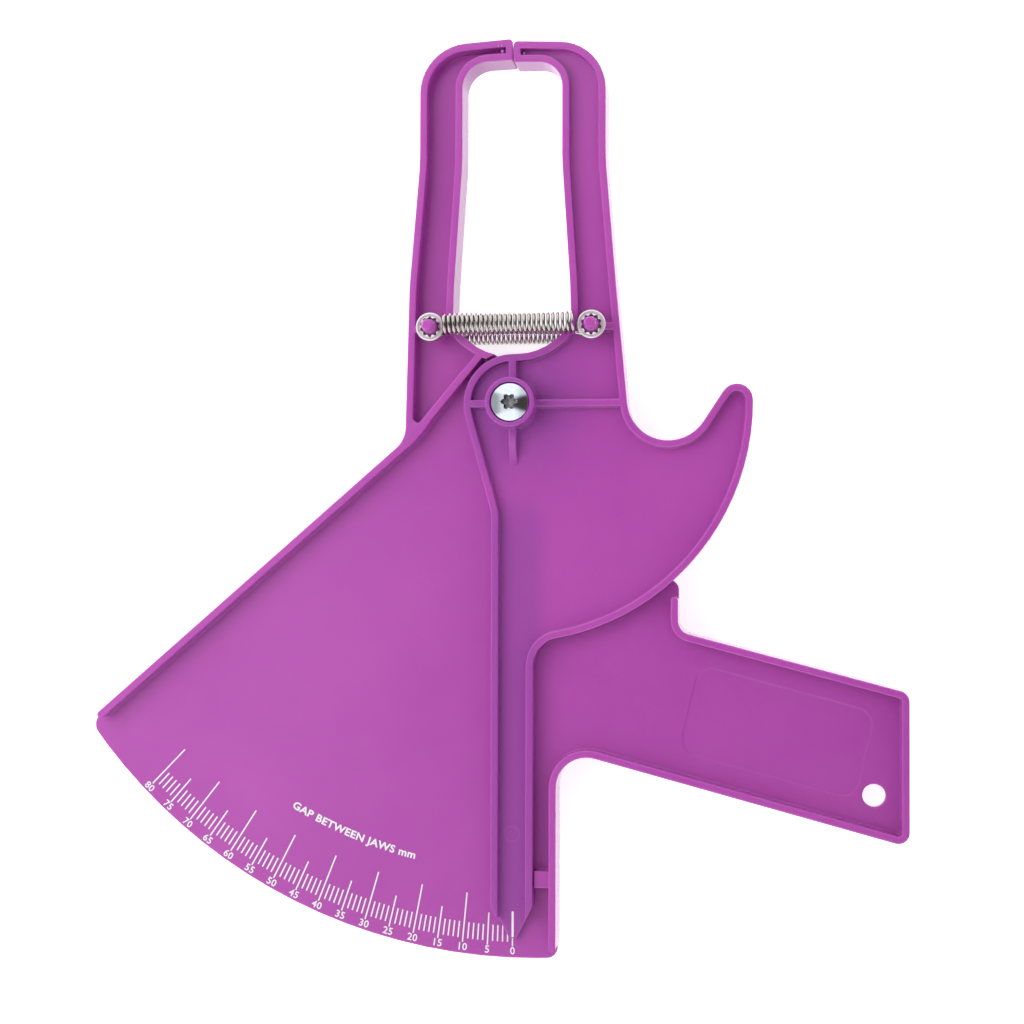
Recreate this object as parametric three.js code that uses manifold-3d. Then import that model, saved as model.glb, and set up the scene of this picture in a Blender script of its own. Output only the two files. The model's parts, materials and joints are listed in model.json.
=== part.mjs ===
// Skinfold caliper. A moulded frame carries the left jaw, the dial plate and the handle. A moulded
// lever carries the right jaw, the finger hook and the pointer. They turn on a metal pivot, and an
// extension spring in front and another behind pull the jaws together.
// Millimetres. The pivot's axis stands on X = 0, Y = 0, +Y runs towards the jaws, and Z = 0 is the
// front rim of both mouldings until the finished group is set down on its lowest points.
import * as THREE from 'three';
import { mergeVertices } from 'three/addons/utils/BufferGeometryUtils.js';
import Module from 'manifold-3d';

const wasm = await Module();
wasm.setup();

// Mouldings, seen from the side
const rimDepth = 10.6;
const webThickness = 2;
const webGap = 0.3;
const ribWidth = 2.1;
const crossRibWidth = 2.2;
const fitGap = 0.3;

// Jaws and arms. The lever's jaw closes a little lower than the frame's, and both arms stand a
// little to the left of the line through the pivot and the jaws' faces.
const jawReach = 111.55;
const leverJawDrop = 0.7;
const jawHeight = 6.35;
const jawGap = 0.3;
const jawTipRadius = 1.2;
const jawHeelRadius = 0.6;
const jawTopSlope = 3.1;
const jawFloorSlope = 1.7;
const jawCornerRadius = 17.5;
const throatHalfWidth = 15.45;
const throatCornerRadius = 8.5;
const armWidth = 13.2;
const armsAside = -0.3;
const armBendBelowTip = 37.5;
const armSplay = 3.15;
const throatSplay = 2.5;
const armBendRadius = 60;
const armKneeAbovePost = 13.2;
const bowlSideSpread = 0.4;
const bowlSideRadius = 10;
const bowlFloorInset = 9.7;
const bowlFloorRadius = 22;

// Pivot
const frameNeckRadius = 14.2;
const leverNeckRadius = 15.1;
const bossRadius = 7.5;
const bossRise = 6;
const sweepGap = 0.9;
const tailRibReach = 18.6;
const barrelRadius = 3.4;
const screwRadius = 2;
const headRadius = 5.8;
const headEdge = 1.5;
const headCrown = 1.3;
const headRecess = 1.9;
const barrelFloor = 2;

// Spring posts, springs and their push-on retainers
const postReach = 33.8;
const postAngle = 43.24;
const postRadius = 3.1;
const pinRadius = 2.4;
const pinTipRadius = 1.8;
const pinAboveRetainer = 4.5;
const pinTipEdge = 0.5;
const springAboveRim = 4.1;
const coilRadius = 3.05;
const wireRadius = 0.45;
const coilTurns = 28;
const frontCoilRise = 0.7;
const rearCoilDrop = 0.3;
const coilStartFromPost = 3.6;
const coilEndFromPost = 5.2;
const eyeStart = 52;
const eyeEnd = 278;
const leadSlope = 0.35;
const retainerRadius = 4.3;
const retainerBand = 1;
const retainerThickness = 0.6;
const retainerTeeth = 10;
const toothTipShare = 0.44;
const toothRootShare = 0.28;

// Dial plate
const dialRadius = 169.5;
const dialShoulderDrop = 10.9;
const dialShoulderX = -33.3;
const dialEdgeAngle = 40.8;
const dialCornerRadius = 4;
const dialRibStop = 6;
const diagonalRibFromPivot = 17.4;
const diagonalRibAngle = 49.9;
const diagonalRibDown = 26;
const diagonalRibUp = 5.5;

// Leg and handle
const legX = 13.5;
const legRibStop = 3.9;
const gripDrop = 104.45;
const gripRootRadius = 9.5;
const handleEndX = 117.9;
const handleTilt = 14.4;
const handleWidth = 43.6;
const handleCornerRadius = 3.3;
const innerCornerRadius = 4.3;
const handleRootX = 50.3;
const handleRootTopY = -53.2;
const handleRibStop = 6.3;
const coveredEdgeDrop = 2.2;
const hangHoleRadius = 3.4;
const hangHoleInset = 9.9;
const hangHoleLift = 11.6;
const panelInset = 8.7;
const panelFromRoot = 3;
const panelFromEnd = 12.5;
const panelSlant = 3;
const panelCornerRadius = 5;
const panelDepth = 0.3;

// Finger hook
const hookRadius = 72.55;
const hookTipRadius = 4.8;
const hookTipAngle = 0.41;
const hollowRadius = 12.5;
const hollowFromHookEdge = 25.15;
const hollowY = 0.95;

// Pointer
const pointerHalfWidth = 6.4;
const pointerKneeY = -33.5;
const pointerShoulderY = -152.8;
const pointerRibStop = 4.1;
const pointerTipY = -163;
const pointerTipHalfWidth = 1.1;
const pointerFilletRadius = 9;
const stopHeight = 4;
const stopLength = 5;
const stopY = -144.6;

// Stiffening ribs on the back of the dial plate
const rearRibs = [
  { angle: 34.6, end: 150 },
  { angle: 14.8, end: 128 },
];
const rearRibFade = 34;
const strutFromPivot = 76.5;
const strutLength = 82;
const strutForkLength = 14;
const strutForkAngle = 28;
const braceFromPivot = 105;
const braceAlongStrut = 49;

// Levels along Z that follow from the sizes above
const leverBack = -(rimDepth - webGap) / 2;
const leverFront = leverBack + webThickness;
const frameFront = leverBack - webGap;
const frameBack = frameFront - webThickness;
const rearRim = -rimDepth;
const rooted = webThickness / 2;
const beyond = 1;
const post = new THREE.Vector2(
  postReach * Math.cos(THREE.MathUtils.degToRad(postAngle)),
  postReach * Math.sin(THREE.MathUtils.degToRad(postAngle)),
);

// Points along an arc about a centre, from one angle to another in degrees
function arc(centre, radius, from, to, step = 6) {
  const count = Math.max(1, Math.round(Math.abs(to - from) / step));
  return Array.from({ length: count + 1 }, (_, i) => {
    const angle = THREE.MathUtils.degToRad(from + ((to - from) * i) / count);
    const x = centre.x + radius * Math.cos(angle);
    const y = centre.y + radius * Math.sin(angle);
    return new THREE.Vector2(x, y);
  });
}

// An open path through corners [x, y, radius], each rounded as far as its edges allow
function rounded(corners, step = 9) {
  const points = corners.map(([x, y]) => new THREE.Vector2(x, y));
  const path = [];
  corners.forEach(([, , radius = 0], i) => {
    const here = points[i];
    if (!radius || i === 0 || i === corners.length - 1) {
      path.push(here);
      return;
    }
    const back = points[i - 1].clone().sub(here);
    const on = points[i + 1].clone().sub(here);
    const turn = Math.PI - Math.abs(back.angleTo(on));
    const share = (k) => (corners[k][2] ? 0.5 : 1);
    const room = Math.min(back.length() * share(i - 1), on.length() * share(i + 1));
    const tangent = Math.min(radius * Math.tan(turn / 2), room * 0.98);
    const fitted = tangent / Math.tan(turn / 2);
    const side = Math.sign(on.cross(back));
    const start = here.clone().addScaledVector(back.normalize(), tangent);
    const centre = start.clone().add(new THREE.Vector2(back.y, -back.x).multiplyScalar(side * fitted));
    const from = THREE.MathUtils.radToDeg(start.clone().sub(centre).angle());
    path.push(...arc(centre, fitted, from, from + side * THREE.MathUtils.radToDeg(turn), step));
  });
  return path;
}

// Joins paths that continue each other, leaving out points that coincide
function chain(...paths) {
  const joined = paths.flat();
  return joined.filter((point, i) => point.distanceTo(joined.at(i - 1)) > 0.01);
}

// Where the line through a and b meets the line through c and d
function crossing(a, b, c, d) {
  const first = b.clone().sub(a);
  const second = d.clone().sub(c);
  const share = c.clone().sub(a).cross(second) / first.cross(second);
  return a.clone().addScaledVector(first, share);
}

// The path moved sideways by a distance, to the left of its direction of travel. A bend that is
// tighter than the distance gives way to the crossing of the straights beside it.
function offset(path, distance) {
  const moved = path.map((point, i) => {
    const before = point.clone().sub(path[Math.max(i - 1, 0)]);
    const after = path[Math.min(i + 1, path.length - 1)].clone().sub(point);
    const first = (i === 0 ? after : before).clone().normalize();
    const second = (i === path.length - 1 ? before : after).clone().normalize();
    const normal = new THREE.Vector2(-first.y - second.y, first.x + second.x);
    return point.clone().addScaledVector(normal, (2 * distance) / normal.lengthSq());
  });
  const turnsBack = (i) => {
    const after = moved[i + 1].clone().sub(moved[i]);
    return after.dot(path[i + 1].clone().sub(path[i])) < 0;
  };
  const kept = [];
  for (let i = 0; i < moved.length; i += 1) {
    const start = i;
    while (i < moved.length - 1 && turnsBack(i)) i += 1;
    const bend = i > start;
    kept.push(bend ? crossing(moved[start - 1], moved[start], moved[i], moved[i + 1]) : moved[i]);
  }
  return kept;
}

// Solids: each takes a three.js geometry, merges its vertices and hands it to the boolean library
function solid(geometry) {
  const bare = geometry.clone();
  bare.deleteAttribute('normal');
  bare.deleteAttribute('uv');
  const merged = mergeVertices(bare, 1e-4);
  const vertProperties = new Float32Array(merged.attributes.position.array);
  const triVerts = new Uint32Array(merged.index.array);
  return new wasm.Manifold(new wasm.Mesh({ numProp: 3, vertProperties, triVerts }));
}

function prism(outline, low, high) {
  const shape = new THREE.Shape(outline);
  const geometry = new THREE.ExtrudeGeometry(shape, { depth: high - low, bevelEnabled: false });
  return solid(geometry.translate(0, 0, low));
}

function wall(path, width, low, high) {
  return prism([...path, ...offset(path, width).reverse()], low, high);
}

// The same with both ends rounded
function roundEndedWall(path, width, low, high) {
  const far = offset(path, width);
  const end = (from, to) => {
    const centre = from.clone().lerp(to, 0.5);
    const start = THREE.MathUtils.radToDeg(from.clone().sub(centre).angle());
    return arc(centre, width / 2, start, start + 180, 30).slice(1, -1);
  };
  const leading = end(path.at(-1), far.at(-1));
  const trailing = end(far[0], path[0]);
  return prism([...path, ...leading, ...far.reverse(), ...trailing], low, high);
}

function turned(profile, x = 0, y = 0, sides = 40) {
  const points = profile.map(([radius, z]) => new THREE.Vector2(radius, z));
  const geometry = new THREE.LatheGeometry(points, sides).rotateX(Math.PI / 2);
  return solid(geometry.translate(x, y, 0));
}

function disc(radius, low, high, x = 0, y = 0, sides = 40) {
  return turned([[0, low], [radius, low], [radius, high], [0, high]], x, y, sides);
}

// A straight rib between two points, its top edge given as [distance, height] pairs
function rib(from, to, width, base, crest) {
  const start = new THREE.Vector2(...from);
  const run = new THREE.Vector2(...to).sub(start);
  const top = crest.map(([along, z]) => new THREE.Vector2(along * run.length(), z));
  const side = new THREE.Shape([new THREE.Vector2(0, base), new THREE.Vector2(run.length(), base), ...top]);
  const geometry = new THREE.ExtrudeGeometry(side, { depth: width, bevelEnabled: false });
  geometry.translate(0, 0, -width / 2).rotateX(Math.PI / 2).rotateZ(run.angle());
  return solid(geometry.translate(start.x, start.y, 0));
}

function flatRib(from, to, width, base, top) {
  return rib(from, to, width, base, [[1, top], [0, top]]);
}

function joined(parts) {
  return parts.reduce((sum, part) => sum.add(part));
}

// Both arms share one outline, the frame's on the left and the lever's on the right. It starts
// and ends in the middle of the jaw's face.
const bendY = jawReach - armBendBelowTip;
const kneeY = post.y + armKneeAbovePost;
const jawTop = (side) => (side < 0 ? jawReach : jawReach - leverJawDrop);
const fall = (distance, degrees) => distance * Math.tan(THREE.MathUtils.degToRad(degrees));
function armOutside(side) {
  const face = (side * jawGap) / 2;
  const shoulder = throatHalfWidth + armWidth;
  const knee = shoulder + armSplay;
  const top = jawTop(side);
  return [
    [face, top - jawHeight / 2],
    [face, top, jawTipRadius],
    [side * shoulder + armsAside, top - fall(shoulder, jawTopSlope), jawCornerRadius],
    [side * shoulder + armsAside, bendY, armBendRadius],
    [side * knee + armsAside, kneeY, armBendRadius],
  ];
}

function armInside(side, floor) {
  const face = (side * jawGap) / 2;
  const foot = throatHalfWidth + throatSplay;
  const heel = jawTop(side) - jawHeight;
  const throatTop = heel - fall(throatHalfWidth, jawFloorSlope);
  return [
    [side * (foot - bowlFloorInset) + armsAside, floor, bowlFloorRadius],
    [side * (foot + bowlSideSpread) + armsAside, post.y, bowlSideRadius],
    [side * foot + armsAside, kneeY, armBendRadius],
    [side * throatHalfWidth + armsAside, bendY, armBendRadius],
    [side * throatHalfWidth + armsAside, throatTop, throatCornerRadius],
    [face, heel, jawHeelRadius],
    [face, heel + jawHeight / 2],
  ];
}

// A spring post: a round shoulder for the spring's eye, then a slimmer pin for the retainer
const eyeSeat = springAboveRim - wireRadius - fitGap;
const retainerSeat = springAboveRim + wireRadius + fitGap;
const pinTop = retainerSeat + retainerThickness + pinAboveRetainer;
function springPost(x, root) {
  const profile = [
    [0, root],
    [postRadius, root],
    [postRadius, eyeSeat],
    [pinRadius, eyeSeat],
    [pinRadius, retainerSeat + retainerThickness],
    [pinTipRadius, pinTop - pinTipEdge],
    [pinTipRadius - pinTipEdge, pinTop],
    [0, pinTop],
  ];
  return turned(profile, x, post.y, 24);
}

function mirroredInDepth(part) {
  return part.mirror([0, 0, 1]).translate([0, 0, rearRim]);
}

// Post and rib pairs, the same in front and behind
function springPosts(side, frontRoot, rearRoot) {
  const wallX = throatHalfWidth + armWidth + armSplay;
  const reach = [[side * post.x, post.y], [side * wallX, post.y]];
  return joined([
    springPost(side * post.x, frontRoot),
    mirroredInDepth(springPost(side * post.x, rearRim - rearRoot)),
    flatRib(...reach, crossRibWidth, frontRoot, 0),
    flatRib(...reach, crossRibWidth, rearRim, rearRoot),
  ]);
}

// The bore takes the pivot's barrel, with a recess in the boss for the head
const headSeat = bossRise - headRecess;
function pivotBore() {
  const bore = disc(barrelRadius + fitGap, rearRim - bossRise - beyond, bossRise + beyond);
  const frontRecess = disc(headRadius + fitGap, headSeat, bossRise + beyond);
  return joined([bore, frontRecess, mirroredInDepth(frontRecess)]);
}

// Frame: its outline runs anticlockwise from the jaw's tip, in sections that carry ribs or not
function buildFrame() {
  const edgeSlope = THREE.MathUtils.degToRad(180 + dialEdgeAngle);
  const shoulder = new THREE.Vector2(dialShoulderX, -dialShoulderDrop);
  const along = new THREE.Vector2(Math.cos(edgeSlope), Math.sin(edgeSlope));
  const inward = shoulder.dot(along);
  const edgeLength = Math.sqrt(inward ** 2 + dialRadius ** 2 - shoulder.lengthSq()) - inward;
  const corner = shoulder.clone().addScaledVector(along, edgeLength);
  const dialRibEnd = shoulder.clone().addScaledVector(along, edgeLength - dialRibStop);
  const leftEdge = rounded([...armOutside(-1), [...shoulder, innerCornerRadius], [...dialRibEnd]]);

  const cornerAngle = THREE.MathUtils.radToDeg(corner.angle());
  const legFoot = new THREE.Vector2(legX, -Math.sqrt(dialRadius ** 2 - legX ** 2));
  const footAngle = THREE.MathUtils.radToDeg(legFoot.angle());
  const dialArc = arc(new THREE.Vector2(), dialRadius, cornerAngle + 3, footAngle - 2, 3);
  const legRibEnd = [legX, legFoot.y + legRibStop];
  const dialEdge = rounded([
    [...dialRibEnd],
    [...corner, dialCornerRadius],
    ...dialArc.map((point) => [...point]),
    [...legFoot, handleCornerRadius],
    legRibEnd,
  ]);

  const tilt = Math.tan(THREE.MathUtils.degToRad(handleTilt));
  const lowerEdge = (x) => -gripDrop - (x - legX) * tilt;
  const upperEdge = (x) => lowerEdge(x) + handleWidth * Math.hypot(1, tilt);
  const handleRibEnd = [handleRootX, handleRootTopY - handleRibStop];
  const handleEdge = rounded([
    legRibEnd,
    [legX, -gripDrop, gripRootRadius],
    [handleEndX, lowerEdge(handleEndX), handleCornerRadius],
    [handleEndX, upperEdge(handleEndX), handleCornerRadius],
    [handleRootX, upperEdge(handleRootX), innerCornerRadius],
    handleRibEnd,
  ]);

  const neck = arc(new THREE.Vector2(), frameNeckRadius, 0, 90, 9);
  const coveredEdge = rounded([
    handleRibEnd,
    [handleRootX, handleRootTopY, handleCornerRadius],
    [frameNeckRadius, handleRootTopY - coveredEdgeDrop, innerCornerRadius],
    ...neck.map((point) => [...point]),
  ]);
  const throatEdge = rounded([[0, frameNeckRadius], ...armInside(-1, leverNeckRadius)]);
  const outline = chain(leftEdge, dialEdge, handleEdge, coveredEdge, throatEdge);

  // The rib across the foot of the arm
  const slant = THREE.MathUtils.degToRad(diagonalRibAngle);
  const nearest = [-Math.sin(slant) * diagonalRibFromPivot, Math.cos(slant) * diagonalRibFromPivot];
  const onSlant = (distance) => [
    nearest[0] + distance * Math.cos(slant),
    nearest[1] + distance * Math.sin(slant),
  ];
  const slanted = [onSlant(-diagonalRibDown), onSlant(diagonalRibUp)];
  const diagonal = flatRib(...slanted, ribWidth, frameFront - rooted, 0);

  // The zero stop stands between the leg's rib and the pointer
  const stopTop = frameFront + stopHeight;
  const stopFrom = [pointerHalfWidth + fitGap, stopY];
  const stopTo = [legX - rooted, stopY];
  const zeroStop = flatRib(stopFrom, stopTo, stopLength, frameFront - rooted, stopTop);

  const raised = joined([
    roundEndedWall(chain(throatEdge, leftEdge), ribWidth, frameFront - rooted, 0),
    roundEndedWall(handleEdge, ribWidth, frameFront - rooted, 0),
    diagonal,
    zeroStop,
  ]).subtract(disc(leverNeckRadius + sweepGap, frameFront, beyond, 0, 0, 72));

  // Behind, ribs follow every edge but the dial's arc, which stays thin for the scale
  const rearEdge = chain(handleEdge, coveredEdge, throatEdge, leftEdge);
  const behind = [roundEndedWall(rearEdge, ribWidth, rearRim, frameBack + rooted)];
  for (const { angle, end } of rearRibs) {
    const heading = THREE.MathUtils.degToRad(270 - angle);
    const tip = [end * Math.cos(heading), end * Math.sin(heading)];
    const crest = [[1, frameBack], [1 - rearRibFade / end, rearRim], [0, rearRim]];
    behind.push(rib([0, 0], tip, ribWidth, frameBack + rooted, crest));
  }
  const from = (point, length, degrees) => {
    const heading = THREE.MathUtils.degToRad(degrees);
    return [point[0] + length * Math.cos(heading), point[1] + length * Math.sin(heading)];
  };
  const inner = 270 - rearRibs[1].angle;
  const strutRoot = from([0, 0], strutFromPivot, inner);
  const fork = from(strutRoot, strutLength, -handleTilt);
  const braceRoot = from([0, 0], braceFromPivot, inner);
  const struts = [
    [strutRoot, fork],
    [fork, from(fork, strutForkLength, strutForkAngle - handleTilt)],
    [fork, from(fork, strutForkLength, -strutForkAngle - handleTilt)],
    [braceRoot, from(strutRoot, braceAlongStrut, -handleTilt)],
  ];
  behind.push(...struts.map((ends) => flatRib(...ends, ribWidth, rearRim, frameBack + rooted)));
  behind.push(disc(ribWidth * 0.7, rearRim, frameBack + rooted, ...fork, 12));
  const bossBehind = disc(bossRadius, rearRim - bossRise, frameBack + rooted);

  // The handle's bare panel lies a little lower than the plate round it
  const holeX = handleEndX - hangHoleInset;
  const holeY = lowerEdge(holeX) + hangHoleLift;
  const panelLeft = handleRootX + panelFromRoot;
  const panelRight = handleEndX - panelFromEnd;
  const low = (x) => [x - panelSlant, lowerEdge(x - panelSlant) + panelInset, panelCornerRadius];
  const high = (x) => [x + panelSlant, upperEdge(x + panelSlant) - panelInset, panelCornerRadius];
  const panelStart = low((panelLeft + panelRight) / 2);
  const corners = [low(panelRight), high(panelRight), high(panelLeft), low(panelLeft)];
  const panel = rounded([panelStart, ...corners, panelStart]).slice(1);

  return joined([
    prism(outline, frameBack, frameFront),
    raised,
    ...behind,
    bossBehind,
    springPosts(-1, frameFront - rooted, frameBack + rooted),
  ])
    .subtract(pivotBore())
    .subtract(disc(hangHoleRadius, rearRim - beyond, beyond, holeX, holeY, 32))
    .subtract(prism(panel, frameFront - panelDepth, 0));
}

// Lever: its outline runs anticlockwise from the pointer's right shoulder
function buildLever() {
  const pivot = new THREE.Vector2();
  const hollow = new THREE.Vector2(hookRadius - hollowFromHookEdge, hollowY);
  const tipCentre = arc(pivot, hookRadius - hookTipRadius, hookTipAngle, hookTipAngle)[0];

  // The straight that runs from the hook's tip into the finger hollow touches both arcs
  const between = tipCentre.clone().sub(hollow);
  const lean = Math.asin((hollowRadius + hookTipRadius) / between.length());
  const straight = THREE.MathUtils.radToDeg(between.angle() + lean) % 360;
  const tipArc = arc(tipCentre, hookTipRadius, hookTipAngle, straight + 90, 18);

  // The arm's outer side leaves the hollow along its tangent
  const armKnee = new THREE.Vector2(...armOutside(1).at(-1));
  const toKnee = armKnee.clone().sub(hollow);
  const tangentAngle = THREE.MathUtils.radToDeg(toKnee.angle() + Math.acos(hollowRadius / toKnee.length()));
  const hollowArc = arc(hollow, hollowRadius, straight - 90, tangentAngle - 360, 9);

  const cornerAngle = THREE.MathUtils.radToDeg(-Math.acos(pointerHalfWidth / hookRadius));
  const hookArc = arc(pivot, hookRadius, cornerAngle + 7, hookTipAngle, 4);
  const corner = [pointerHalfWidth, -Math.sqrt(hookRadius ** 2 - pointerHalfWidth ** 2)];

  // The neck's arc runs round the boss and into the straight that meets the pointer
  const knee = new THREE.Vector2(-pointerHalfWidth, pointerKneeY);
  const kneeAngle = THREE.MathUtils.radToDeg(knee.angle() - Math.acos(leverNeckRadius / knee.length()));
  const neckArc = arc(pivot, leverNeckRadius, 90, kneeAngle, 8);

  const ribFoot = pointerShoulderY - pointerRibStop;
  const rightSide = [[pointerHalfWidth, ribFoot], [...corner, pointerFilletRadius]];
  const hookEdge = rounded([...rightSide, ...hookArc.map((point) => [...point])]);
  const armEdge = rounded([[...hollowArc.at(-1)], ...armOutside(1).reverse()]);
  const throatEdge = rounded([...armInside(1, leverNeckRadius).reverse(), [0, leverNeckRadius]]);
  const leftSide = rounded([[...neckArc.at(-1)], [...knee, pointerFilletRadius], [knee.x, ribFoot]]);
  const ribbed = chain(hookEdge, tipArc, hollowArc, armEdge, throatEdge, neckArc, leftSide);

  const outline = ribbed.slice(1, -1);
  outline.push(new THREE.Vector2(-pointerHalfWidth, pointerShoulderY));
  outline.push(new THREE.Vector2(-pointerTipHalfWidth, pointerTipY));
  outline.push(new THREE.Vector2(pointerTipHalfWidth, pointerTipY));
  outline.push(new THREE.Vector2(pointerHalfWidth, pointerShoulderY));

  const low = leverFront - rooted;
  const hollowWallX = hollow.x - hollowRadius - ribWidth / 2;
  const tailRib = rib(
    [0, rooted - bossRadius],
    [0, -tailRibReach],
    crossRibWidth,
    low,
    [[1, leverFront], [0.5, 0], [0, 0]],
  );
  const frontRibs = joined([
    wall(ribbed, ribWidth, low, 0),
    flatRib([0, 0], [hollowWallX, 0], crossRibWidth, low, 0),
    flatRib([0, 0], [rooted - leverNeckRadius, 0], crossRibWidth, low, 0),
    flatRib([0, 0], [0, leverNeckRadius - rooted], crossRibWidth, low, 0),
    tailRib,
  ]).intersect(prism(outline, low, beyond));

  // Behind, only what never sweeps over the frame has walls: the arm and the finger hollow
  const armFoot = hollowArc.at(-1);
  const bridge = [
    [throatHalfWidth - ribWidth, leverNeckRadius + ribWidth / 2],
    [armFoot.x - ribWidth / 2, armFoot.y + ribWidth],
  ];
  const rearWalls = joined([
    wall(chain(tipArc, hollowArc, armEdge, throatEdge), ribWidth, rearRim, leverBack + rooted),
    flatRib(...bridge, ribWidth, rearRim, leverBack + rooted),
  ]).subtract(disc(frameNeckRadius + sweepGap, rearRim - beyond, leverBack, 0, 0, 72));

  return joined([
    prism(outline, leverBack, leverFront),
    frontRibs,
    rearWalls,
    disc(bossRadius, leverBack, bossRise),
    springPosts(1, leverFront - rooted, leverBack + rooted),
  ]).subtract(pivotBore());
}

// Pivot: a domed screw in front goes into a flanged barrel from behind
function domedHead(seat) {
  const arcHeight = headCrown;
  const sphere = (headRadius ** 2 + arcHeight ** 2) / (2 * arcHeight);
  const steps = 6;
  const crown = Array.from({ length: steps + 1 }, (_, i) => {
    const radius = (headRadius * (steps - i)) / steps;
    return [radius, seat + headEdge + arcHeight - sphere + Math.sqrt(sphere ** 2 - radius ** 2)];
  });
  return [[headRadius, seat], ...crown];
}

const barrelTop = headSeat;
const screwSeat = headSeat + fitGap;
const rearSeat = rearRim - headSeat;
function buildScrew() {
  const shankEnd = rearSeat + barrelFloor;
  const shank = [[0, shankEnd], [screwRadius, shankEnd], [screwRadius, screwSeat]];
  return turned([...shank, ...domedHead(screwSeat)]);
}

function buildBarrel() {
  const flange = mirroredInDepth(turned([[0, screwSeat], ...domedHead(screwSeat)]));
  const tube = disc(barrelRadius, rearSeat - rooted, barrelTop);
  const thread = disc(screwRadius + fitGap, rearSeat + barrelFloor - fitGap, barrelTop + beyond);
  return flange.add(tube).subtract(thread);
}

// Retainer: a push-on ring whose inner teeth grip the pin
function buildRetainer(x, low) {
  const tipRadius = pinRadius + fitGap;
  const rootRadius = retainerRadius - retainerBand;
  const centre = new THREE.Vector2();
  const pitch = 360 / retainerTeeth;
  const tipHalf = (pitch * toothTipShare) / 2;
  const rootHalf = (pitch * toothRootShare) / 2;
  const teeth = [];
  for (let i = 0; i < retainerTeeth; i += 1) {
    const tip = i * pitch;
    const root = tip + pitch / 2;
    teeth.push(...arc(centre, tipRadius, tip - tipHalf, tip + tipHalf, 9));
    teeth.push(...arc(centre, rootRadius, root - rootHalf, root + rootHalf, 9));
  }
  const shape = new THREE.Shape(arc(centre, retainerRadius, 0, 352, 8));
  shape.holes.push(new THREE.Path(teeth));
  const geometry = new THREE.ExtrudeGeometry(shape, { depth: retainerThickness, bevelEnabled: false });
  return solid(geometry.translate(x, post.y, low));
}

// Spring: one wire that loops round the frame's post, winds its coil and loops round the lever's.
// The coil's axis stands off the line between the posts by the rise.
const springSpan = 2 * post.x;
const eyeRadius = pinRadius + fitGap + wireRadius;
const coilSteps = 8;
function springPath(rise) {
  const eye = (sign, x) => {
    const loop = arc(new THREE.Vector2(), eyeRadius, eyeStart, eyeEnd, 28);
    const tail = loop[0].clone().sub(loop[1]).normalize();
    const ends = [loop[0].clone().addScaledVector(tail, 2 * wireRadius), ...loop];
    return ends.map((point) => new THREE.Vector3(x + sign * point.x, point.y, 0));
  };
  const coilLength = springSpan - coilStartFromPost - coilEndFromPost;
  const count = coilTurns * coilSteps;
  const coil = Array.from({ length: count + 1 }, (_, i) => {
    const angle = (2 * Math.PI * i) / coilSteps;
    const x = coilStartFromPost + (coilLength * i) / count;
    return new THREE.Vector3(x, rise - coilRadius * Math.cos(angle), -coilRadius * Math.sin(angle));
  });
  const leadY = (rise - coilRadius - eyeRadius) / 2;
  const leadIn = new THREE.Vector3(coilStartFromPost / 2, leadY, leadSlope);
  const leadOut = new THREE.Vector3(springSpan - coilEndFromPost / 2, leadY, -leadSlope);
  return [...eye(1, 0), leadIn, ...coil, leadOut, ...eye(-1, springSpan).reverse()];
}

// The least clear distance between stretches of the wire that aren't neighbours
function leastGap(path) {
  const apart = coilSteps - 2;
  let least = Infinity;
  for (let i = 0; i < path.length; i += 1) {
    for (let j = i + apart; j < path.length; j += 1) {
      const line = new THREE.Line3(path[j - 1], path[j]);
      const nearest = line.closestPointToPoint(path[i], true, new THREE.Vector3());
      least = Math.min(least, nearest.distanceTo(path[i]));
    }
  }
  return least - 2 * wireRadius;
}

// A closed tube of a few sides along a path, its rings carried on without twisting
function buildWire(path) {
  const sides = 5;
  const vertices = [];
  const triangles = [];
  let normal = new THREE.Vector3(0, 0, 1);
  path.forEach((point, i) => {
    const before = path[Math.max(i - 1, 0)];
    const after = path[Math.min(i + 1, path.length - 1)];
    const tangent = after.clone().sub(before).normalize();
    normal = normal.clone().addScaledVector(tangent, -normal.dot(tangent)).normalize();
    const across = tangent.clone().cross(normal);
    for (let k = 0; k < sides; k += 1) {
      const angle = (2 * Math.PI * k) / sides;
      const ring = point.clone().addScaledVector(normal, wireRadius * Math.cos(angle));
      ring.addScaledVector(across, wireRadius * Math.sin(angle));
      vertices.push(...ring);
    }
  });
  for (let i = 0; i < path.length - 1; i += 1) {
    for (let k = 0; k < sides; k += 1) {
      const a = i * sides + k;
      const b = i * sides + ((k + 1) % sides);
      triangles.push(a, b, b + sides, a, b + sides, a + sides);
    }
  }
  const last = (path.length - 1) * sides;
  for (let k = 1; k < sides - 1; k += 1) {
    triangles.push(0, k + 1, k, last, last + k, last + k + 1);
  }
  const geometry = new THREE.BufferGeometry();
  geometry.setAttribute('position', new THREE.Float32BufferAttribute(vertices, 3));
  geometry.setIndex(triangles);
  return solid(geometry);
}

// Materials
const violet = { color: 0xb256b4, roughness: 0.42, metalness: 0 };
const chrome = { color: 0xd8dcdf, roughness: 0.12, metalness: 1 };
const steel = { color: 0xb4aea6, roughness: 0.28, metalness: 1 };
const zinc = { color: 0xdadcd8, roughness: 0.35, metalness: 1 };

const caliper = new THREE.Group();
function addPiece(name, part, finish) {
  const { vertProperties, triVerts } = part.getMesh();
  const geometry = new THREE.BufferGeometry();
  geometry.setAttribute('position', new THREE.BufferAttribute(new Float32Array(vertProperties), 3));
  geometry.setIndex(new THREE.BufferAttribute(new Uint32Array(triVerts), 1));
  geometry.computeVertexNormals();
  const mesh = new THREE.Mesh(geometry, new THREE.MeshStandardMaterial(finish));
  mesh.name = name;
  caliper.add(mesh);
}

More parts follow.
